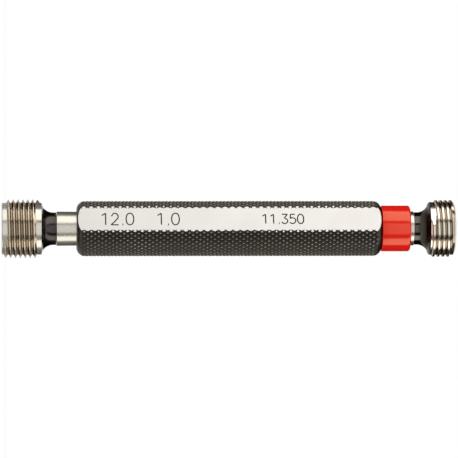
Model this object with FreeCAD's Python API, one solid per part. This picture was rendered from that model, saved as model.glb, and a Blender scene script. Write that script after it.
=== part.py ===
import FreeCAD, Part
import math
import os

from FreeCAD import Vector

# Double-ended thread plug gauge for an M12 x 1 tapped hole, class 6H.
# It stands on the front face of its go plug: +Z is the gauge's axis, the origin is the
# centre of that face, and the ground flat of the handle faces -Y. All sizes are in mm.

# --- Screw thread -------------------------------------------------------------------
nominal_d = 12.0            # nominal diameter of the thread to be checked
thread_pitch = 1.0
flank_angle = 60.0          # between the two flanks
hole_tolerance = 0.16       # pitch diameter tolerance of the checked hole
no_go_flank_rise = 0.1      # no-go flank kept above the pitch line
ridge_sink = 0.03           # how far a ridge is rooted below the collar's surface
grind_sink = 0.02           # how far the ground ramp at a ridge's end dips into the collar

# --- Go plug: full thread form, on a long head ----------------------------------------
go_head_length = 8.3
go_root_width = 0.11        # flat floor of the groove between two ridges
go_front_land = 0.22        # plain collar between the front face and the first ridge
go_back_land = 0.44         # plain collar between the last ridge and the neck
go_front_edge = 0.15        # chamfer on the collar's front edge, along the axis
go_front_edge_drop = 0.17   # the same chamfer, across the axis
go_back_edge = 0.15
go_back_edge_drop = 0.3
go_thread_start = -48.0     # degrees round the axis at which the first ridge rises
go_shank_shown = 4.21       # bright shank left between neck and handle

# --- No-go plug: shortened flanks, on a short head -------------------------------------
no_go_head_length = 5.5
no_go_root_width = 0.165
no_go_front_land = 0.01
no_go_back_land = 0.42
no_go_front_edge = 0.28
no_go_front_edge_drop = 0.45
no_go_back_edge = 0.3
no_go_back_edge_drop = 0.42
no_go_thread_start = 9.4
no_go_shank_shown = 6.82

# --- What the two plugs share: neck, taper shank, centre holes ------------------------
neck_d = 6.7
neck_straight = 0.6         # straight neck between the hollow and the shank
neck_hollow = 2.5           # radius of the hollow that runs from the neck up to the head
back_rim = 0.25             # flat rim of the head's back face, outside the hollow
shank_d = 7.05              # at its large end, beside the neck
shank_edge = 0.16           # chamfer between neck and shank, along the axis
shank_taper = 1.0 / 50.0    # diameter lost for each mm of length
shank_grip = 15.0           # length held in the handle
shank_tip_edge = 0.4        # chamfer on the shank's small end
centre_hole_d = 2.4         # mouth of the centre hole in each end face
centre_angle = 60.0
centre_pilot_d = 1.0
centre_pilot_depth = 2.6    # from the face to the end of the pilot drilling
drill_angle = 118.0

# --- Handle ---------------------------------------------------------------------------
handle_d = 11.4             # over the knurl's tips
handle_length = 63.0
handle_round = 1.8          # radius of the rounded ends
handle_round_length = 1.7   # a little short of a full quarter round
flat_depth = 0.83           # ground flat, measured down from the knurl's tips
taper_gap = 0.003           # between shank and socket, on the radius
socket_spare = 1.5          # free depth past the tip of a seated shank
socket_edge = 0.3           # chamfer at a socket's mouth
knock_out_d = 4.0           # bore between the sockets, for driving a plug out

# --- Marking ring on the no-go shank -----------------------------------------------------
ring_d = 9.48
ring_length = 5.95
ring_outer_round = 0.38     # on the end that faces the no-go plug
ring_inner_round = 0.15     # on the end against the handle
ring_bore_edge = 0.15
ring_gap = 0.02             # between ring and shank, on the radius

# --- Worked out from the sizes above ----------------------------------------------------
half_flank = math.tan(math.radians(flank_angle / 2))
thread_triangle = thread_pitch / (2 * half_flank)
go_major_r = nominal_d / 2
go_pitch_r = go_major_r - thread_triangle * 3 / 8
no_go_pitch_r = go_pitch_r + hole_tolerance / 2
no_go_major_r = no_go_pitch_r + no_go_flank_rise
handle_r = handle_d / 2
neck_r = neck_d / 2
beyond = nominal_d          # how far a cutting block reaches past what it cuts


def shank_radius(from_neck):
    return shank_d / 2 - from_neck * shank_taper / 2


def ridge_width(radius, pitch_r):
    """Axial width of a ridge at a radius: half the pitch on the pitch line."""
    return thread_pitch / 2 - 2 * (radius - pitch_r) * half_flank


def root_radius(pitch_r, root_width):
    """Radius at which neighbouring ridges leave a groove floor of this width."""
    return pitch_r - (thread_pitch / 2 - root_width) / (2 * half_flank)


def hollow_size(root_r, back_drop):
    """Length along the axis, and rise across it, of the hollow between neck and head."""
    rise = min(root_r - back_drop - back_rim - neck_r, neck_hollow)
    return math.sqrt(neck_hollow ** 2 - (neck_hollow - rise) ** 2), rise


go_root_r = root_radius(go_pitch_r, go_root_width)
no_go_root_r = root_radius(no_go_pitch_r, no_go_root_width)
go_neck_length = hollow_size(go_root_r, go_back_edge_drop)[0] + neck_straight
no_go_neck_length = hollow_size(no_go_root_r, no_go_back_edge_drop)[0] + neck_straight

handle_z = go_head_length + go_neck_length + go_shank_shown
handle_top = handle_z + handle_length
total_length = handle_top + no_go_shank_shown + no_go_neck_length + no_go_head_length


def line(start, end):
    return Part.LineSegment(Vector(start[0], 0, start[1]), Vector(end[0], 0, end[1])).toShape()


def arc(start, middle, end):
    return Part.Arc(*(Vector(r, 0, z) for r, z in (start, middle, end))).toShape()


def outline(*steps):
    """Closed outline in (radius, z) from points, and arcs given as (middle, end) pairs."""
    edges = []
    here = steps[0]
    for step in steps[1:] + steps[:1]:
        if isinstance(step[0], tuple):
            edges.append(arc(here, step[0], step[1]))
            here = step[1]
        else:
            edges.append(line(here, step))
            here = step
    return Part.Face(Part.Wire(edges))


def turned(*steps):
    return outline(*steps).revolve(Vector(0, 0, 0), Vector(0, 0, 1), 360)


def upside_down(shape, top):
    """The shape turned end for end, so that its z = 0 face lies at the given height."""
    shape.rotate(Vector(0, 0, 0), Vector(1, 0, 0), 180)
    shape.translate(Vector(0, 0, top))
    return shape


def centre_hole():
    """Centre hole with its pilot drilling, going up from z = 0."""
    mouth_r = centre_hole_d / 2
    pilot_r = centre_pilot_d / 2
    cone_end = (mouth_r - pilot_r) / math.tan(math.radians(centre_angle / 2))
    tip = centre_pilot_depth + pilot_r / math.tan(math.radians(drill_angle / 2))
    return turned((0, 0), (mouth_r, 0), (pilot_r, cone_end), (pilot_r, centre_pilot_depth),
                  (0, tip))


def plug_body(root_r, head_length, front_edge, front_drop, back_edge, back_drop, shank_shown):
    """Turned blank of a plug: head collar, hollowed neck and taper shank."""
    hollow, rise = hollow_size(root_r, back_drop)
    neck_z = head_length + hollow
    shank_z = neck_z + neck_straight
    tip_z = shank_z + shank_shown + shank_grip
    tip_r = shank_radius(tip_z - shank_z)
    half = hollow / 2
    middle_r = neck_r + neck_hollow - math.sqrt(neck_hollow ** 2 - half ** 2)
    blank = turned(
        (0, 0),
        (root_r - front_drop, 0),
        (root_r, front_edge),
        (root_r, head_length - back_edge),
        (root_r - back_drop, head_length),
        (neck_r + rise, head_length),
        ((middle_r, neck_z - half), (neck_r, neck_z)),
        (neck_r, shank_z),
        (shank_radius(shank_edge), shank_z + shank_edge),
        (tip_r, tip_z - shank_tip_edge),
        (tip_r - shank_tip_edge, tip_z),
        (0, tip_z))
    return blank.cut(centre_hole()).cut(upside_down(centre_hole(), tip_z))


def chamfer_cones(root_r, major_r, length, front_edge, front_drop, back_edge, back_drop):
    """Space between the cones of a head's two chamfers, carried out past the ridge."""
    out = 2 * (major_r - root_r)
    return turned(
        (0, 0),
        (root_r - front_drop, 0),
        (root_r + out, front_edge + out * front_edge / front_drop),
        (root_r + out, length - back_edge - out * back_edge / back_drop),
        (root_r - back_drop, length),
        (0, length))


def ramp_block(angle, height, reach, root_r):
    """Block that grinds a ridge's end down to the collar, in a ramp beside this angle."""
    block = Part.makeBox(beyond, abs(reach), thread_pitch,
                         Vector(root_r - grind_sink, min(reach, 0), -thread_pitch / 2))
    block.rotate(Vector(0, 0, 0), Vector(0, 0, 1), angle)
    block.translate(Vector(0, 0, height))
    return block


def helical_ridge(root_r, pitch_r, major_r, first_z, turns, start_angle):
    """Right-hand thread ridge swept along its helix, with both ends ground off in a ramp."""
    foot_r = root_r - ridge_sink
    foot = ridge_width(foot_r, pitch_r) / 2
    crest = ridge_width(major_r, pitch_r) / 2
    corners = [Vector(foot_r, 0, -foot), Vector(major_r, 0, -crest),
               Vector(major_r, 0, crest), Vector(foot_r, 0, foot)]
    section = Part.makePolygon(corners + corners[:1])
    helix = Part.makeHelix(thread_pitch, thread_pitch * turns, major_r)
    ridge = Part.Wire(helix.Edges).makePipeShell([section], True, True)
    ridge.rotate(Vector(0, 0, 0), Vector(0, 0, 1), start_angle)
    ridge.translate(Vector(0, 0, first_z))
    last_z = first_z + thread_pitch * turns
    ridge = ridge.cut(ramp_block(start_angle, first_z, major_r, root_r))
    return ridge.cut(ramp_block(start_angle + 360 * turns, last_z, -major_r, root_r))


def thread_plug(root_r, pitch_r, major_r, head_length, front_land, back_land, chamfers,
                start_angle, shank_shown):
    """Gauging member standing on its front face at z = 0, with its shank upwards."""
    half_foot = ridge_width(root_r, pitch_r) / 2
    first_z = front_land + half_foot
    last_z = head_length - back_land - half_foot
    turns = (last_z - first_z) / thread_pitch
    ridge = helical_ridge(root_r, pitch_r, major_r, first_z, turns, start_angle)
    ridge = ridge.common(chamfer_cones(root_r, major_r, head_length, *chamfers))
    body = plug_body(root_r, head_length, *chamfers, shank_shown)
    return body.fuse(ridge).removeSplitter()


def make_go_plug():
    chamfers = (go_front_edge, go_front_edge_drop, go_back_edge, go_back_edge_drop)
    return thread_plug(go_root_r, go_pitch_r, go_major_r, go_head_length, go_front_land,
                       go_back_land, chamfers, go_thread_start, go_shank_shown)


def make_no_go_plug():
    chamfers = (no_go_front_edge, no_go_front_edge_drop, no_go_back_edge, no_go_back_edge_drop)
    plug = thread_plug(no_go_root_r, no_go_pitch_r, no_go_major_r, no_go_head_length,
                       no_go_front_land, no_go_back_land, chamfers, no_go_thread_start,
                       no_go_shank_shown)
    return upside_down(plug, total_length)


def taper_socket(shank_shown):
    """Tapered socket with a chamfered mouth, going up from a handle face at z = 0."""
    depth = shank_grip + socket_spare
    mouth_r = shank_radius(shank_shown) + taper_gap
    edge_r = shank_radius(shank_shown + socket_edge) + taper_gap
    floor_r = shank_radius(shank_shown + depth) + taper_gap
    return turned((0, 0), (mouth_r + socket_edge, 0), (edge_r, socket_edge),
                  (floor_r, depth), (0, depth))


def make_handle():
    """Bar with rounded ends, a ground flat from end to end and a socket in each end."""
    round_r = handle_r - handle_round
    face_r = round_r + math.sqrt(handle_round ** 2 - handle_round_length ** 2)
    half = handle_round_length / 2
    middle_r = round_r + math.sqrt(handle_round ** 2 - half ** 2)
    bar = turned(
        (0, 0),
        (face_r, 0),
        ((middle_r, half), (handle_r, handle_round_length)),
        (handle_r, handle_length - handle_round_length),
        ((middle_r, handle_length - half), (face_r, handle_length)),
        (0, handle_length))
    flat_y = handle_r - flat_depth
    bar = bar.cut(Part.makeBox(2 * beyond, beyond, handle_length + 2 * beyond,
                               Vector(-beyond, -flat_y - beyond, -beyond)))
    bar = bar.cut(taper_socket(go_shank_shown))
    bar = bar.cut(upside_down(taper_socket(no_go_shank_shown), handle_length))
    bar = bar.cut(Part.makeCylinder(knock_out_d / 2, handle_length))
    bar.translate(Vector(0, 0, handle_z))
    return bar


def make_marking_ring():
    """Plastic ring pushed along the no-go shank, up against the handle."""
    outer_r = ring_d / 2
    bore_r = shank_radius(no_go_shank_shown - ring_length) + ring_gap
    low = handle_top
    high = handle_top + ring_length
    inner_dip = ring_inner_round * (1 - math.sqrt(0.5))
    outer_dip = ring_outer_round * (1 - math.sqrt(0.5))
    return turned(
        (bore_r + ring_bore_edge, low),
        (outer_r - ring_inner_round, low),
        ((outer_r - inner_dip, low + inner_dip), (outer_r, low + ring_inner_round)),
        (outer_r, high - ring_outer_round),
        ((outer_r - outer_dip, high - outer_dip), (outer_r - ring_outer_round, high)),
        (bore_r + ring_bore_edge, high),
        (bore_r, high - ring_bore_edge),
        (bore_r, low + ring_bore_edge))


pieces = {
    "go_plug": make_go_plug(),
    "handle": make_handle(),
    "marking_ring": make_marking_ring(),
    "no_go_plug": make_no_go_plug(),
}

os.makedirs("parts", exist_ok=True)
for name, shape in pieces.items():
    shape.exportStep(f"parts/{name}.step")
    print(name, len(shape.Solids), shape.isValid(), round(shape.Volume, 3))
print("length", round(total_length, 3), "handle from", round(handle_z, 3), "to", round(handle_top, 3))
print("ring bore radius", round(shank_radius(no_go_shank_shown - ring_length) + ring_gap, 4))
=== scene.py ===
import math

import bmesh
import bpy
from mathutils import Matrix, Vector


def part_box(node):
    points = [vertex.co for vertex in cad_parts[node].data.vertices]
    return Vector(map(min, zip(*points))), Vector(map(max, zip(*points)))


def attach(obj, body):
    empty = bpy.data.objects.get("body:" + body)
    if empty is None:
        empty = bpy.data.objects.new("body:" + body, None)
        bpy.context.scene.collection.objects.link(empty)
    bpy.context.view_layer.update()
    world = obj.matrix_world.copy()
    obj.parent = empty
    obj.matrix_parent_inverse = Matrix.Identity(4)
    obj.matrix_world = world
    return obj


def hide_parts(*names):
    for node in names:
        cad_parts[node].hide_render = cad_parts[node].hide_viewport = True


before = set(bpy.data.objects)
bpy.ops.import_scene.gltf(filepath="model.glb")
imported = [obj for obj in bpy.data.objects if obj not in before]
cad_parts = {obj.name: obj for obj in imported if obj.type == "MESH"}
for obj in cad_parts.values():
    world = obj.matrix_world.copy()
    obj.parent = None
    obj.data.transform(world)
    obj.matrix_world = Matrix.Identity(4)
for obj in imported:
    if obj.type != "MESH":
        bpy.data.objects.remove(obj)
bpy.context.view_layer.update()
mm = 0.001                      # pieces are shaped in millimetres and scaled once, when finished
mergeDistance = 0.0005          # in millimetres: points nearer than this become one
cutDistance = 0.0002            # and a cut that passes this near a point goes through it
print("frame loaded:", ", ".join(sorted(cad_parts)))


def nodeEnds(node):
    low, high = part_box(node)
    return low.z / mm, high.z / mm


# materials: what they share

def linearColour(hexCode):
    # sRGB hex to the linear values a shader takes
    values = [int(hexCode[i:i + 2], 16) / 255 for i in (0, 2, 4)]
    return [v / 12.92 if v <= 0.04045 else ((v + 0.055) / 1.055) ** 2.4 for v in values] + [1.0]


def addNode(tree, kind, settings=None, values=None, links=None):
    node = tree.nodes.new("ShaderNode" + kind)
    for name, value in (settings or {}).items():
        setattr(node, name, value)
    for socket, value in (values or {}).items():
        node.inputs[socket].default_value = value
    for socket, source in (links or {}).items():
        tree.links.new(source, node.inputs[socket])
    return node


def startMaterial(name, **values):
    material = bpy.data.materials.new(name)
    material.use_nodes = True
    tree = material.node_tree
    shader = tree.nodes["Principled BSDF"]
    for socket, value in values.items():
        shader.inputs[socket.replace("_", " ")].default_value = value
    return material, tree, shader


def objectPlace(tree):
    place = addNode(tree, "TexCoord").outputs["Object"]
    return place, addNode(tree, "SeparateXYZ", links={"Vector": place}).outputs


def latheSurface(tree, axes, along, around):
    # the surface unrolled as on a lathe: metres along the axis and radians round it, each
    # multiplied so that a noise runs in rings round the work
    turn = addNode(tree, "Math", {"operation": "ARCTAN2"}, links={0: axes["Y"], 1: axes["X"]})
    rings = addNode(tree, "Math", {"operation": "MULTIPLY"}, {1: along}, {0: axes["Z"]})
    sweep = addNode(tree, "Math", {"operation": "MULTIPLY"}, {1: around}, {0: turn.outputs[0]})
    unrolled = addNode(tree, "CombineXYZ", links={"X": rings.outputs[0], "Y": sweep.outputs[0]})
    return unrolled.outputs[0]


def axisRadius(tree, axes):
    across = addNode(tree, "CombineXYZ", links={"X": axes["X"], "Y": axes["Y"]})
    length = addNode(tree, "VectorMath", {"operation": "LENGTH"}, links={0: across.outputs[0]})
    return length.outputs["Value"]


def finishShader(tree, shader, colour, gloss, height, bumpStrength, bumpHeight):
    bump = addNode(tree, "Bump", values={"Strength": bumpStrength, "Distance": bumpHeight * mm},
                   links={"Height": height.outputs[0]})
    tree.links.new(colour.outputs[0], shader.inputs["Base Color"])
    tree.links.new(gloss.outputs[0], shader.inputs["Roughness"])
    tree.links.new(bump.outputs[0], shader.inputs["Normal"])


def groundSteel(name, colour, shade, roughness, lineWidth, lineHeight, blotch, along=None,
                grooveShade=None):
    # hardened tool steel, cylindrically ground: bright neutral metal, faint grinding lines
    # round the axis (or along the flat), and a light oily blotchiness in its gloss.
    # The groove shade is painted shade: a darker brownish colour, darkest at the first radius and
    # gone at the second.
    # Real grinding lines are 0.01 mm apart; they are drawn coarser, as wide as lineWidth
    material, tree, shader = startMaterial(name, Metallic=1.0)
    place, axes = objectPlace(tree)
    if along:
        grain = addNode(tree, "Mapping", values={"Scale": along}, links={"Vector": place}).outputs[0]
    else:
        grain = latheSurface(tree, axes, 1 / (lineWidth * mm), 0.6)
    lines = addNode(tree, "TexNoise", values={"Scale": 1.0, "Detail": 3.0, "Roughness": 0.6},
                    links={"Vector": grain})
    cloud = addNode(tree, "TexNoise", values={"Scale": 1 / (blotch * mm), "Detail": 4.0},
                    links={"Vector": place})
    gloss = addNode(tree, "MapRange", values={"To Min": roughness[0], "To Max": roughness[1]},
                    links={"Value": cloud.outputs[0]})
    # the grinding lines change the gloss by 0.03 either way
    streak = addNode(tree, "MapRange", values={"To Min": -0.03, "To Max": 0.03},
                     links={"Value": lines.outputs[0]})
    streakedGloss = addNode(tree, "Math", {"operation": "ADD", "use_clamp": True},
                            links={0: gloss.outputs[0], 1: streak.outputs[0]})
    tone = addNode(tree, "MixRGB", links={"Fac": lines.outputs[0]},
                   values={"Color1": linearColour(shade), "Color2": linearColour(colour)})
    if grooveShade:
        paintedShadeColour, darkestAt, goneAt = grooveShade
        # painted shade: the colour goes darker and browner towards the groove's root
        film = addNode(tree, "MapRange", links={"Value": axisRadius(tree, axes)},
                       values={"From Min": darkestAt * mm, "From Max": goneAt * mm})
        tone = addNode(tree, "MixRGB", values={"Color1": linearColour(paintedShadeColour)},
                       links={"Fac": film.outputs[0], "Color2": tone.outputs[0]})
    finishShader(tree, shader, tone, streakedGloss, lines, 0.5, lineHeight)
    return material


def blackenedSteel(name, dark, light, worn, wornFrom, wornTo, roughness):
    # chemically blackened steel: near-black magnetite film with a dull sheen and a 0.35 mm
    # grain, rubbed through in 5 mm patches to grey metal. Wear starts at one radius and is
    # full at the other
    material, tree, shader = startMaterial(name, Metallic=1.0)
    place, axes = objectPlace(tree)
    grain = addNode(tree, "TexNoise", values={"Scale": 1 / (0.35 * mm), "Detail": 5.0},
                    links={"Vector": place})
    patch = addNode(tree, "TexNoise", values={"Scale": 1 / (5.0 * mm), "Detail": 2.0},
                    links={"Vector": place})
    film = addNode(tree, "MixRGB", links={"Fac": grain.outputs[0]},
                   values={"Color1": linearColour(dark), "Color2": linearColour(light)})
    height = addNode(tree, "MapRange", links={"Value": axisRadius(tree, axes)},
                     values={"From Min": wornFrom * mm, "From Max": wornTo * mm})
    chance = addNode(tree, "MapRange", links={"Value": patch.outputs[0]},
                     values={"From Min": 0.3, "From Max": 0.7, "To Min": 0.35, "To Max": 1.0})
    rub = addNode(tree, "Math", {"operation": "MULTIPLY", "use_clamp": True},
                  links={0: height.outputs[0], 1: chance.outputs[0]})
    skin = addNode(tree, "MixRGB", values={"Color2": linearColour(worn)},
                   links={"Fac": rub.outputs[0], "Color1": film.outputs[0]})
    gloss = addNode(tree, "MapRange", values={"To Min": roughness[0], "To Max": roughness[1]},
                    links={"Value": grain.outputs[0]})
    finishShader(tree, shader, skin, gloss, grain, 0.6, 0.012)
    return material


def mouldedPlastic(name, colour, deep, roughness):
    # injection-moulded ABS ring: even pigment, soft gloss, a very fine moulded skin and
    # slight flow marks that run round the ring
    material, tree, shader = startMaterial(name, IOR=1.54, Specular_IOR_Level=1.0,
                                           Specular_Tint=linearColour("F8E2B4"))
    place, axes = objectPlace(tree)
    flow = addNode(tree, "TexNoise", values={"Scale": 1.0, "Detail": 3.0},
                   links={"Vector": latheSurface(tree, axes, 1 / (0.8 * mm), 0.8)})
    skin = addNode(tree, "TexNoise", values={"Scale": 1 / (0.12 * mm), "Detail": 2.0},
                   links={"Vector": place})
    tone = addNode(tree, "MixRGB", links={"Fac": flow.outputs[0]},
                   values={"Color1": linearColour(deep), "Color2": linearColour(colour)})
    gloss = addNode(tree, "MapRange", values={"To Min": roughness[0], "To Max": roughness[1]},
                    links={"Value": flow.outputs[0]})
    finishShader(tree, shader, tone, gloss, skin, 0.4, 0.006)
    return material


lappedThread = groundSteel("lappedToolSteel", "E6E2D8", "DCD8CC", (0.18, 0.26), 0.12, 0.002, 3.0)
# the groove finishes carry painted shade towards the thread's root
goGroove = groundSteel("glossyShadedGoGroove", "F0EADE", "E6E0D2", (0.13, 0.2), 0.12, 0.0003, 3.0,
                       grooveShade=("B9AB97", 5.75, 6.0))
noGoGroove = groundSteel("glossyShadedNoGoGroove", "DAD3C6", "CEC7B8", (0.15, 0.23), 0.12, 0.0003, 3.0,
                         grooveShade=("A4937C", 5.55, 6.0))
groundShank = groundSteel("groundToolSteel", "DEDAD0", "D2CEC4", (0.25, 0.31), 0.15, 0.001, 2.5)
groundFlat = groundSteel("surfaceGroundSteel", "D7D5D2", "D0CECB", (0.32, 0.42), 0.15, 0.003, 4.0,
                         along=(1 / (0.25 * mm), 1 / (0.25 * mm), 1 / (6 * mm)))
oxideNeck = blackenedSteel("blackenedToolSteel", "3E3B38", "504C49", "6B6762", 3.3, 8.0,
                           (0.16, 0.25))
# the no-go neck has painted shade high up in its hollow, by the head, and is lighter, in patches, on
# the straight neck
shadedOxideHollow = blackenedSteel("blackenedShadedHollow", "1E1715", "2B2422", "5E5A55", 4.1, 3.35,
                             (0.1, 0.16))
oxideKnurl = blackenedSteel("blackenedKnurl", "3A3732", "56534D", "BEBBB2", 5.64, 5.69,
                            (0.34, 0.5))
oxideEnds = blackenedSteel("blackenedBar", "2A2724", "3C3835", "6B6762", 5.0, 5.7,
                           (0.3, 0.42))
etchedMark = blackenedSteel("etchedSteel", "463F39", "57504A", "6A635C", 5.0, 5.2, (0.5, 0.65))
redPlastic = mouldedPlastic("mouldedRedPlastic", "FF1C14", "F81810", (0.14, 0.2))
print("materials made")


# meshes: what they share

def drawProfile(bm, start, steps):
    # closed half section in the XZ plane; a step is a point, or an arc given as the
    # centre, the degrees turned and the number of pieces
    first = here = bm.verts.new((start[0], 0, start[1]))
    for step in steps:
        if len(step) == 2:
            there = bm.verts.new((step[0], 0, step[1]))
            bm.edges.new((here, there))
            here = there
        else:
            made = bmesh.ops.spin(bm, geom=[here], cent=(step[0], 0, step[1]), axis=(0, 1, 0),
                                  angle=math.radians(step[2]), steps=step[3])
            here = [part for part in made["geom_last"] if isinstance(part, bmesh.types.BMVert)][0]
    bm.edges.new((here, first))


def spinProfile(bm, steps):
    bmesh.ops.spin(bm, geom=bm.verts[:] + bm.edges[:], cent=(0, 0, 0), axis=(0, 0, 1),
                   angle=2 * math.pi, steps=steps, use_merge=True)
    bmesh.ops.remove_doubles(bm, verts=bm.verts, dist=mergeDistance)
    bmesh.ops.recalc_face_normals(bm, faces=bm.faces)


def addRing(bm, loop, radius, height, material):
    # the open edge of a turned shape carried on to a new radius and height
    made = bmesh.ops.extrude_edge_only(bm, edges=loop)["geom"]
    for part in made:
        if isinstance(part, bmesh.types.BMVert):
            part.co.xy *= radius / part.co.xy.length
            part.co.z = height
        elif isinstance(part, bmesh.types.BMFace):
            part.material_index = material
    return [part for part in made if isinstance(part, bmesh.types.BMEdge) and part.is_boundary]


def toObject(name, bm, materials):
    mesh = bpy.data.meshes.new(name)
    bm.to_mesh(mesh)
    bm.free()
    for material in materials:
        mesh.materials.append(material)
    piece = bpy.data.objects.new(name, mesh)
    bpy.context.scene.collection.objects.link(piece)
    return piece


def finishPiece(name, bm, materials, node, sharp=32):
    # sharp is the angle in degrees past which an edge shows; borders of a finish show too
    bmesh.ops.remove_doubles(bm, verts=bm.verts, dist=mergeDistance)
    bmesh.ops.dissolve_degenerate(bm, edges=bm.edges, dist=cutDistance)
    bmesh.ops.recalc_face_normals(bm, faces=bm.faces)
    openEdges = sum(1 for edge in bm.edges if not edge.is_manifold)
    bmesh.ops.scale(bm, vec=(mm, mm, mm), verts=bm.verts)
    for face in bm.faces:
        face.smooth = True
    for edge in bm.edges:
        finishes = {face.material_index for face in edge.link_faces}
        edge.smooth = len(finishes) == 1 and edge.calc_face_angle(0.0) < math.radians(sharp)
    triangles = sum(len(face.verts) - 2 for face in bm.faces)
    piece = toObject(name, bm, materials)
    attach(piece, "root")
    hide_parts(node)
    print(name, "made:", triangles, "triangles,", openEdges, "open edges")
    return piece


# go and no-go plugs: thread spun up its helix, then neck, taper shank, centre holes

thread = {
    "pitch": 1.0,
    "flank": math.tan(math.radians(30)),
    "stepsPerTurn": 144,
    "spareTurns": 2,            # spun past both ends, then cut away
    "grindSink": 0.004,         # the run-out is a flat that lies this far under the collar
    "grindReach": 60,           # it ends within this many degrees of the ridge's end
    "mergeDistance": 0.002,     # closes the ridge where it fades out
    "floorHeight": 0.05,        # nearer to the root than this is the groove's floor
    "flankTilt": 0.3,           # a face is a flank if its normal leans along the axis more
}
shank = {
    "neckRadius": 3.35, "neckStraight": 0.6, "hollowRadius": 2.5, "rim": 0.25,
    "largeRadius": 3.525, "taper": 1 / 50, "edge": 0.16, "grip": 15.0, "tipEdge": 0.4,
    "centreRadius": 1.2, "centreAngle": 60, "pilotRadius": 0.5, "pilotDepth": 2.6,
    "drillAngle": 118, "hollowSteps": 10,
}
# each head stands on z = 0 here; the ridge starts startAngle degrees from +X, and its crest
# ends at majorRadius
goPlug = {
    "pitchRadius": 5.6752, "majorRadius": 6.0, "rootWidth": 0.11, "headLength": 8.3,
    "frontLand": 0.22, "backLand": 0.44, "startAngle": -48.0, "shankShown": 4.21,
    "frontEdge": (0.15, 0.17), "backEdge": (0.15, 0.3),     # along the axis, across it
}
noGoPlug = {
    "pitchRadius": 5.7552, "majorRadius": 5.8552, "rootWidth": 0.165, "headLength": 5.5,
    "frontLand": 0.01, "backLand": 0.42, "startAngle": 9.4, "shankShown": 6.82,
    "frontEdge": (0.28, 0.45), "backEdge": (0.3, 0.42),
}


def ridgeHalf(plug, radius):
    return thread["pitch"] / 4 - (radius - plug["pitchRadius"]) * thread["flank"]


def rootRadius(plug):
    return plug["pitchRadius"] - (thread["pitch"] / 4 - plug["rootWidth"] / 2) / thread["flank"]


def shankRadius(fromNeck):
    return shank["largeRadius"] - fromNeck * shank["taper"] / 2


def coneLimit(plug, side, edge, fromFace):
    # radius at which a ridge's flank meets the cone of the head's chamfer; a flank that
    # runs along with the cone never does
    slope = edge[1] / edge[0]
    root = rootRadius(plug)
    foot = ridgeHalf(plug, root)
    flank = thread["flank"]
    lean = 1 + side * slope * flank
    if lean < 0.01:
        return plug["majorRadius"]
    return (root - edge[1] + slope * (fromFace + side * foot + side * root * flank)) / lean


def spinThread(bm, plug):
    pitch, steps, spare = thread["pitch"], thread["stepsPerTurn"], thread["spareTurns"]
    root, major = rootRadius(plug), plug["majorRadius"]
    foot, crest = ridgeHalf(plug, root), ridgeHalf(plug, major)
    firstZ = plug["frontLand"] + foot
    turns = (plug["headLength"] - plug["backLand"] - foot - firstZ) / pitch
    form = [(root, -pitch / 2), (root, -foot), (major, -crest),
            (major, crest), (root, foot), (root, pitch / 2)]
    verts = [bm.verts.new((radius, 0, firstZ + z - spare * pitch)) for radius, z in form]
    edges = [bm.edges.new(pair) for pair in zip(verts, verts[1:])]
    whole = math.ceil(turns) + 2 * spare
    bmesh.ops.spin(bm, geom=verts + edges, cent=(0, 0, 0), axis=(0, 0, 1),
                   dvec=(0, 0, pitch / steps), angle=2 * math.pi * whole, steps=steps * whole)
    bmesh.ops.rotate(bm, verts=bm.verts, cent=(0, 0, 0),
                     matrix=Matrix.Rotation(math.radians(plug["startAngle"]), 3, "Z"))
    # the ridge's ends are ground off in a ramp, and the head's chamfers trim its crest
    for vert in bm.verts:
        radius = vert.co.xy.length
        if radius < root + thread["floorHeight"]:
            continue
        turn = (math.degrees(math.atan2(vert.co.y, vert.co.x)) - plug["startAngle"]) / 360
        turn += round((vert.co.z - firstZ) / pitch - turn)
        centre = firstZ + turn * pitch
        side = 1 if vert.co.z > centre else -1
        fromEnd = 2 * math.pi * min(turn, turns - turn)
        limit = major
        if fromEnd < math.radians(thread["grindReach"]):
            limit = min(major, (root - thread["grindSink"]) / math.cos(max(fromEnd, 0)))
        limit = min(limit,
                    coneLimit(plug, side, plug["frontEdge"], centre),
                    coneLimit(plug, -side, plug["backEdge"], plug["headLength"] - centre))
        limit = max(limit, root)
        vert.co.xy *= limit / radius
        vert.co.z = centre + side * ridgeHalf(plug, limit)
    bmesh.ops.remove_doubles(bm, verts=bm.verts, dist=thread["mergeDistance"])
    # the flanks, and the floor between two ridges, have their own, oilier finish, and painted shade
    # that darkens them deeper in the groove
    bm.normal_update()
    for face in bm.faces:
        middle = face.calc_center_median()
        turn = (math.degrees(math.atan2(middle.y, middle.x)) - plug["startAngle"]) / 360
        ridges, fromRidge = divmod((middle.z - firstZ) / pitch - turn, 1)
        inGroove = foot / pitch < fromRidge < 1 - foot / pitch and 0 <= turn + ridges <= turns - 1
        onFlank = (abs(face.normal.z) > thread["flankTilt"]
                   and middle.xy.length > root + thread["floorHeight"])
        if inGroove or onFlank:
            face.material_index = 3


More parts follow.
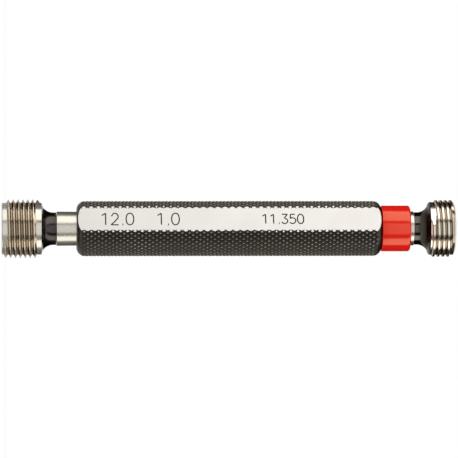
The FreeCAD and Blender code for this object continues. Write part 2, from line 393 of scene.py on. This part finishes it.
def turnPlug(plug):
    bm = bmesh.new()
    spinThread(bm, plug)
    root, length = rootRadius(plug), plug["headLength"]
    front, back = plug["frontEdge"], plug["backEdge"]
    loops = []
    for height, way in ((front[0], -1), (length - back[0], 1)):
        cut = bmesh.ops.bisect_plane(bm, geom=bm.verts[:] + bm.edges[:] + bm.faces[:],
                                     dist=cutDistance, plane_co=(0, 0, height),
                                     plane_no=(0, 0, way), clear_outer=True)["geom_cut"]
        loops.append([part for part in cut if isinstance(part, bmesh.types.BMEdge)])
    rise = root - back[1] - shank["rim"] - shank["neckRadius"]
    hollow = shank["hollowRadius"]
    hollowLength = math.sqrt(hollow ** 2 - (hollow - rise) ** 2)
    neckZ = length + hollowLength
    shankZ = neckZ + shank["neckStraight"]
    tipZ = shankZ + plug["shankShown"] + shank["grip"]
    tip = shankRadius(tipZ - shankZ)
    pilot, mouth, depth = shank["pilotRadius"], shank["centreRadius"], shank["pilotDepth"]
    cone = (mouth - pilot) / math.tan(math.radians(shank["centreAngle"] / 2))
    drillTip = depth + pilot / math.tan(math.radians(shank["drillAngle"] / 2))
    # the front chamfer and face, and its centre hole
    loop = loops[0]
    for radius, height in ((root - front[1], 0), (mouth, 0), (pilot, cone), (pilot, depth),
                           (0, drillTip)):
        loop = addRing(bm, loop, radius, height, 0)
    # the back chamfer and face, the hollowed neck, and the shank with its own centre hole
    loop = addRing(bm, loops[1], root - back[1], length, 1)
    loop = addRing(bm, loop, shank["neckRadius"] + rise, length, 1)
    for step in range(1, shank["hollowSteps"] + 1):
        along = hollowLength * step / shank["hollowSteps"]
        fall = hollow - math.sqrt(max(hollow ** 2 - (hollowLength - along) ** 2, 0))
        loop = addRing(bm, loop, shank["neckRadius"] + fall, length + along, 1)
    loop = addRing(bm, loop, shank["neckRadius"], shankZ, 1)
    loop = addRing(bm, loop, shankRadius(shank["edge"]), shankZ + shank["edge"], 2)
    for radius, height in ((tip, tipZ - shank["tipEdge"]), (tip - shank["tipEdge"], tipZ),
                           (mouth, tipZ), (pilot, tipZ - cone), (pilot, tipZ - depth),
                           (0, tipZ - drillTip)):
        loop = addRing(bm, loop, radius, height, 2)
    return bm


goFinishes = (lappedThread, oxideNeck, groundShank, goGroove)
finishPiece("goPlug", turnPlug(goPlug), goFinishes, "go_plug")

noGoTop = nodeEnds("no_go_plug")[1]
noGoMesh = turnPlug(noGoPlug)
bmesh.ops.rotate(noGoMesh, verts=noGoMesh.verts, cent=(0, 0, 0),
                 matrix=Matrix.Rotation(math.pi, 3, "X"))
bmesh.ops.translate(noGoMesh, verts=noGoMesh.verts, vec=(0, 0, noGoTop))
noGoFinishes = (lappedThread, shadedOxideHollow, groundShank, noGoGroove)
finishPiece("noGoPlug", noGoMesh, noGoFinishes, "no_go_plug")


# handle: diamond knurl rolled cell by cell, trimmed to a turned bar with a ground flat

handle = {
    "low": nodeEnds("handle")[0], "high": nodeEnds("handle")[1],
    "radius": 5.7, "round": 1.8, "flat": 4.87, "segments": 144,
    "socketDepth": 16.5, "socketEdge": 0.3, "bore": 2.0, "fitGap": 0.003,
    "roundSteps": 8,
    "trimClearance": 0.1,       # between knurl and bar, so that the bar only trims the ends
}
knurl = {
    "around": 36,               # diamonds in one ring
    "rowHeight": 0.745,         # half a diamond along the axis
    "rowTurn": -5.1,            # degrees from one row to the next; not quite half a diamond
    "firstTurn": 1.7,           # degrees from +X to the middle of the first diamond
    "grooveRadius": 5.405,
    "flankInset": 0.26, "flankHeight": 0.24,
    "tipInset": 0.06, "tipHeight": 0.06,
    "mergeDistance": 0.01,      # joins each diamond to its neighbours
    "spareRows": 4,             # rolled past the bar's ends, then cut away
    "overhang": 4.0,            # plain sleeve past the bar's ends, cut away too
}
marks = {
    # plain sizes in millimetres, one group towards each plug: text, start, height, advance
    "groups": (("12.0  1.0", 20.3, 2.6, 0.8), ("11.350", 53.4, 2.1, 0.78)),
    "pointAdvance": 0.5,        # of a figure's advance, for a decimal point
    "cutterRadius": 0.13,       # ball-nosed cutter, so the strokes are round-bottomed
}
figureStrokes = {
    # pen strokes in parts of a figure's height; a stroke that ends where it starts is a ring
    "0": (((0, 0.5), (0.3, 1), (0.6, 0.5), (0.3, 0), (0, 0.5)),),
    "1": (((0.08, 0.8), (0.38, 1)), ((0.38, 1), (0.38, 0))),
    "2": (((0.03, 0.74), (0.3, 1), (0.57, 0.73), (0.42, 0.42), (0, 0)), ((0, 0), (0.6, 0))),
    "3": (((0.03, 1), (0.57, 1)), ((0.57, 1), (0.27, 0.6)),
          ((0.27, 0.6), (0.6, 0.31), (0.29, 0), (0, 0.17))),
    "5": (((0.53, 1), (0.1, 1)), ((0.1, 1), (0.06, 0.55)),
          ((0.06, 0.55), (0.32, 0.63), (0.6, 0.32), (0.29, 0), (0, 0.13))),
    ".": (((0.1, 0), (0.18, 0)), ((0.1, 0.06), (0.18, 0.06))),
}
handleFinishes = (oxideKnurl, groundFlat, oxideEnds, etchedMark)


def knurlSleeve():
    # one diamond is raised, copied round a ring, and the ring copied up the bar
    bm = bmesh.new()
    half = 180 / knurl["around"]
    skew = knurl["rowTurn"] + half
    corners = []
    for turn, height in ((-half, 0), (-skew, -knurl["rowHeight"]), (half, 0),
                         (skew, knurl["rowHeight"])):
        angle = math.radians(turn)
        corners.append(bm.verts.new((knurl["grooveRadius"] * math.cos(angle),
                                     knurl["grooveRadius"] * math.sin(angle), height)))
    cell = bm.faces.new(corners)
    cell.normal_update()
    for inset, height in ((knurl["flankInset"], knurl["flankHeight"]),
                          (knurl["tipInset"], knurl["tipHeight"])):
        bmesh.ops.inset_individual(bm, faces=[cell], thickness=inset, depth=height,
                                   use_even_offset=True)
    bmesh.ops.spin(bm, geom=bm.verts[:] + bm.edges[:] + bm.faces[:], cent=(0, 0, 0),
                   axis=(0, 0, 1), angle=math.radians(360 - 2 * half),
                   steps=knurl["around"] - 1, use_duplicate=True)
    spare, overhang = knurl["spareRows"], knurl["overhang"]
    rows = math.ceil((handle["high"] - handle["low"]) / knurl["rowHeight"]) + spare
    bmesh.ops.translate(bm, verts=bm.verts,
                        vec=(0, 0, handle["low"] - spare / 2 * knurl["rowHeight"]))
    bmesh.ops.rotate(bm, verts=bm.verts, cent=(0, 0, 0),
                     matrix=Matrix.Rotation(math.radians(knurl["firstTurn"]), 3, "Z"))
    bmesh.ops.spin(bm, geom=bm.verts[:] + bm.edges[:] + bm.faces[:], cent=(0, 0, 0),
                   axis=(0, 0, 1), angle=math.radians(knurl["rowTurn"] * rows), steps=rows,
                   dvec=(0, 0, knurl["rowHeight"]), use_duplicate=True)
    bmesh.ops.remove_doubles(bm, verts=bm.verts, dist=knurl["mergeDistance"])
    rims = [edge for edge in bm.edges if edge.is_boundary]
    for way, height in ((-1, handle["low"] - overhang), (1, handle["high"] + overhang)):
        middle = (handle["low"] + handle["high"]) / 2
        rim = [edge for edge in rims if (edge.verts[0].co.z - middle) * way > 0]
        addRing(bm, rim, knurl["grooveRadius"], height, 0)
    bmesh.ops.holes_fill(bm, edges=[edge for edge in bm.edges if edge.is_boundary], sides=0)
    bmesh.ops.recalc_face_normals(bm, faces=bm.faces)
    return bm


def turnedBar():
    # the bar the knurl is trimmed to: rounded ends, a socket in each, a bore between
    low, high, radius, corner = handle["low"], handle["high"], handle["radius"], handle["round"]
    depth, edge, gap = handle["socketDepth"], handle["socketEdge"], handle["fitGap"]
    inner = radius - corner
    mouths = [shankRadius(plug["shankShown"]) + gap for plug in (goPlug, noGoPlug)]
    floors = [mouth - depth * shank["taper"] / 2 for mouth in mouths]
    clear, steps = radius + handle["trimClearance"], handle["roundSteps"]
    bm = bmesh.new()
    drawProfile(bm, (inner, low), [
        (inner, low + corner, -90, steps), (clear, low + corner),
        (clear, high - corner), (radius, high - corner),
        (inner, high - corner, -90, steps), (mouths[1] + edge, high),
        (mouths[1], high - edge), (floors[1], high - depth), (handle["bore"], high - depth),
        (handle["bore"], low + depth), (floors[0], low + depth),
        (mouths[0], low + edge), (mouths[0] + edge, low)])
    spinProfile(bm, handle["segments"])
    for face in bm.faces:
        face.material_index = 2
    cut = bmesh.ops.bisect_plane(bm, geom=bm.verts[:] + bm.edges[:] + bm.faces[:],
                                 dist=cutDistance, plane_co=(0, -handle["flat"], 0),
                                 plane_no=(0, -1, 0), clear_outer=True)["geom_cut"]
    rim = [part for part in cut if isinstance(part, bmesh.types.BMEdge)]
    flat = bmesh.ops.contextual_create(bm, geom=rim)["faces"]
    for face in flat:
        face.material_index = 1
    bmesh.ops.recalc_face_normals(bm, faces=bm.faces)
    return bm


def strokeSolid(points, start, height):
    # the path of one cut, as a round bar astride the flat; figures read along the axis
    curve = bpy.data.curves.new("stroke", "CURVE")
    curve.dimensions, curve.use_fill_caps = "3D", True
    curve.bevel_depth, curve.bevel_resolution, curve.resolution_u = marks["cutterRadius"], 2, 8
    path = curve.splines.new("BEZIER")
    path.use_cyclic_u = points[0] == points[-1]
    knots = points[:-1] if path.use_cyclic_u else points
    path.bezier_points.add(len(knots) - 1)
    for knot, (across, up) in zip(path.bezier_points, knots):
        knot.co = ((0.5 - up) * height, -handle["flat"], start + across * height)
        knot.handle_left_type = knot.handle_right_type = "AUTO"
    holder = bpy.data.objects.new("stroke", curve)
    bpy.context.scene.collection.objects.link(holder)
    mesh = bpy.data.meshes.new_from_object(holder.evaluated_get(
        bpy.context.evaluated_depsgraph_get()))
    bpy.data.objects.remove(holder)
    bm = bmesh.new()
    bm.from_mesh(mesh)
    bmesh.ops.remove_doubles(bm, verts=bm.verts, dist=mergeDistance)
    bmesh.ops.recalc_face_normals(bm, faces=bm.faces)
    for face in bm.faces:
        face.material_index = 3
    return toObject("stroke", bm, handleFinishes)


def combine(piece, tool, operation):
    # the tool's object is used up
    change = piece.modifiers.new(operation.lower(), "BOOLEAN")
    change.object, change.operation = tool, operation
    change.solver, change.material_mode = "EXACT", "INDEX"
    view = bpy.context.evaluated_depsgraph_get()
    mesh = bpy.data.meshes.new_from_object(piece.evaluated_get(view))
    piece.modifiers.clear()
    piece.data = mesh
    bpy.data.objects.remove(tool)


bar = toObject("bar", turnedBar(), handleFinishes)
for text, start, height, advance in marks["groups"]:
    for figure in text:
        for points in figureStrokes.get(figure, ()):
            combine(bar, strokeSolid(points, start, height), "DIFFERENCE")
        start += height * advance * (marks["pointAdvance"] if figure == "." else 1)
print("bar turned and marked")
sleeve = toObject("sleeve", knurlSleeve(), handleFinishes)
combine(sleeve, bar, "INTERSECT")
handleMesh = bmesh.new()
handleMesh.from_mesh(sleeve.data)
bpy.data.objects.remove(sleeve)
finishPiece("knurledHandle", handleMesh, handleFinishes, "handle", sharp=28)


# marking ring

ring = {
    "low": nodeEnds("marking_ring")[0], "high": nodeEnds("marking_ring")[1], "radius": 4.74,
    "fitGap": 0.02, "boreEdge": 0.15, "innerRound": 0.15, "innerSteps": 5,
    "outerRound": 0.48, "outerSteps": 7, "segments": 128,
}


def turnRing():
    low, high, radius = ring["low"], ring["high"], ring["radius"]
    inner, outer, edge = ring["innerRound"], ring["outerRound"], ring["boreEdge"]
    bore = shankRadius(noGoPlug["shankShown"] - (high - low)) + ring["fitGap"]
    bm = bmesh.new()
    drawProfile(bm, (radius - inner, low), [
        (radius - inner, low + inner, -90, ring["innerSteps"]), (radius, high - outer),
        (radius - outer, high - outer, -90, ring["outerSteps"]), (bore + edge, high),
        (bore, high - edge), (bore, low + edge), (bore + edge, low)])
    spinProfile(bm, ring["segments"])
    return bm


finishPiece("markingRing", turnRing(), (redPlastic,), "marking_ring")


# studio: pale floor, white surround, two tall soft boxes, dark flags between them

studio = {
    "cameraAngle": 24.0, "cameraDistance": 830.0, "cameraHeight": 1.3, "aimHeight": 46.89,
    "aimAside": -0.085, "roll": 0.04, "lens": 316.15,
    "boxDistance": 350.0, "flagDistance": 367.5, "boxHeight": 700.0, "lift": 2.0,
    # angles are counted from the camera, positive towards the flat's side; a box's third
    # value is its brightness, where 1 is a white wall, and the last is its tint
    "boxes": {"keyBox": (39, 94, 0.93, "FFFCF5"), "fillBox": (-89, -53, 0.92, "FFF9EC")},
    "flags": {"flagLeft": (26, 38, "3C342A"), "flagRight": (-52, -29, "3C342A"),
              "flagBackLeft": (97, 168, "30200F"), "flagBackRight": (-168, -92, "30200F")},
    "flagStep": 6,              # degrees of one flat strip of a flag
    "worldDiffuse": 0.55, "floorGlow": 0.78, "paperLight": 1.1, "floorHalf": 3000.0,
}
studioLift = studio["lift"] * mm            # boxes and flags stand clear of the floor


def studioDirection(angle):
    # unit vector from the gauge's axis, by angle from the camera
    turn = math.radians(studio["cameraAngle"] - angle)
    return Vector((math.sin(turn), -math.cos(turn), 0))


def aimedMatrix(place, target, up):
    back = (place - target).normalized()
    right = up.cross(back).normalized()
    up = back.cross(right)
    matrix = Matrix((right, up, back)).transposed().to_4x4()
    matrix.translation = place
    return matrix


camera = bpy.data.objects.new("camera", bpy.data.cameras.new("camera"))
camera.data.sensor_width = 36.0
camera.data.lens = studio["lens"]
camera.data.clip_start, camera.data.clip_end = 0.05, 20.0
cameraPlace = studioDirection(0) * studio["cameraDistance"] * mm
cameraPlace.z = studio["cameraHeight"] * mm
cameraAim = studioDirection(90) * studio["aimAside"] * mm
cameraAim.z = studio["aimHeight"] * mm
camera.matrix_world = aimedMatrix(cameraPlace, cameraAim, studioDirection(90)) @ \
    Matrix.Rotation(math.radians(-studio["roll"]), 4, "Z")
bpy.context.scene.collection.objects.link(camera)
bpy.context.scene.camera = camera

for name, (start, end, glow, tint) in studio["boxes"].items():
    half = math.radians(end - start) / 2
    lamp = bpy.data.lights.new(name, "AREA")
    lamp.shape = "RECTANGLE"
    lamp.size = 2 * studio["boxDistance"] * mm * math.tan(half)
    lamp.size_y = studio["boxHeight"] * mm
    lamp.energy = glow * math.pi * lamp.size * lamp.size_y      # watts at that brightness
    lamp.color = linearColour(tint)[:3]
    box = bpy.data.objects.new(name, lamp)
    place = studioDirection((start + end) / 2) * studio["boxDistance"] * mm
    place.z = studio["boxHeight"] * mm / 2 + studioLift
    box.matrix_world = aimedMatrix(place, Vector((0, 0, place.z)), Vector((0, 0, 1)))
    bpy.context.scene.collection.objects.link(box)

for name, (start, end, tint) in studio["flags"].items():
    # black cloth flags, seen only in the metal
    cloth = startMaterial(name, Roughness=1.0, Base_Color=linearColour(tint),
                          Specular_IOR_Level=0.0)[0]
    bm = bmesh.new()
    place = studioDirection(start) * studio["flagDistance"] * mm
    foot = bm.verts.new((place.x, place.y, studioLift))
    strips = max(2, round((end - start) / studio["flagStep"]))
    bmesh.ops.spin(bm, geom=[foot], cent=(0, 0, 0), axis=(0, 0, 1),
                   angle=-math.radians(end - start), steps=strips)
    strip = bmesh.ops.extrude_edge_only(bm, edges=bm.edges[:])["geom"]
    bmesh.ops.translate(bm, verts=[part for part in strip if isinstance(part, bmesh.types.BMVert)],
                        vec=(0, 0, studio["boxHeight"] * mm))
    flag = toObject(name, bm, (cloth,))
    flag.visible_camera = flag.visible_shadow = flag.visible_diffuse = False

# matt white paper floor; to the camera it is mostly its own white, and still takes a shadow
floorMaterial, floorTree, floorShader = startMaterial(
    "paleFloor", Roughness=0.9, Base_Color=linearColour("F6F5F3"), Specular_IOR_Level=0.1)
paper = addNode(floorTree, "Emission", values={"Color": linearColour("FFFFFF"),
                                               "Strength": studio["paperLight"]})
fromCamera = addNode(floorTree, "LightPath").outputs["Is Camera Ray"]
share = addNode(floorTree, "Math", {"operation": "MULTIPLY"}, {1: studio["floorGlow"]},
                {0: fromCamera})
mixed = addNode(floorTree, "MixShader", links={0: share.outputs[0], 1: floorShader.outputs[0],
                                               2: paper.outputs[0]})
floorTree.links.new(mixed.outputs[0], floorTree.nodes["Material Output"].inputs["Surface"])
bm = bmesh.new()
bmesh.ops.create_grid(bm, x_segments=1, y_segments=1, size=studio["floorHalf"] * mm)
toObject("floor", bm, (floorMaterial,))

world = bpy.data.worlds.new("whiteSurround")
bpy.context.scene.world = world
world.use_nodes = True
tree = world.node_tree
path = addNode(tree, "LightPath").outputs
seen = addNode(tree, "Math", {"operation": "MAXIMUM"},
               links={0: path["Is Camera Ray"], 1: path["Is Glossy Ray"]})
seen = addNode(tree, "Math", {"operation": "MAXIMUM"},
               links={0: seen.outputs[0], 1: path["Is Transmission Ray"]})
level = addNode(tree, "MapRange", values={"To Min": studio["worldDiffuse"], "To Max": 1.0},
                links={"Value": seen.outputs[0]})
tree.links.new(level.outputs[0], tree.nodes["Background"].inputs["Strength"])
tree.nodes["Background"].inputs["Color"].default_value = linearColour("FFFFFF")

bpy.context.scene.view_settings.view_transform = "Standard"
print("studio set")
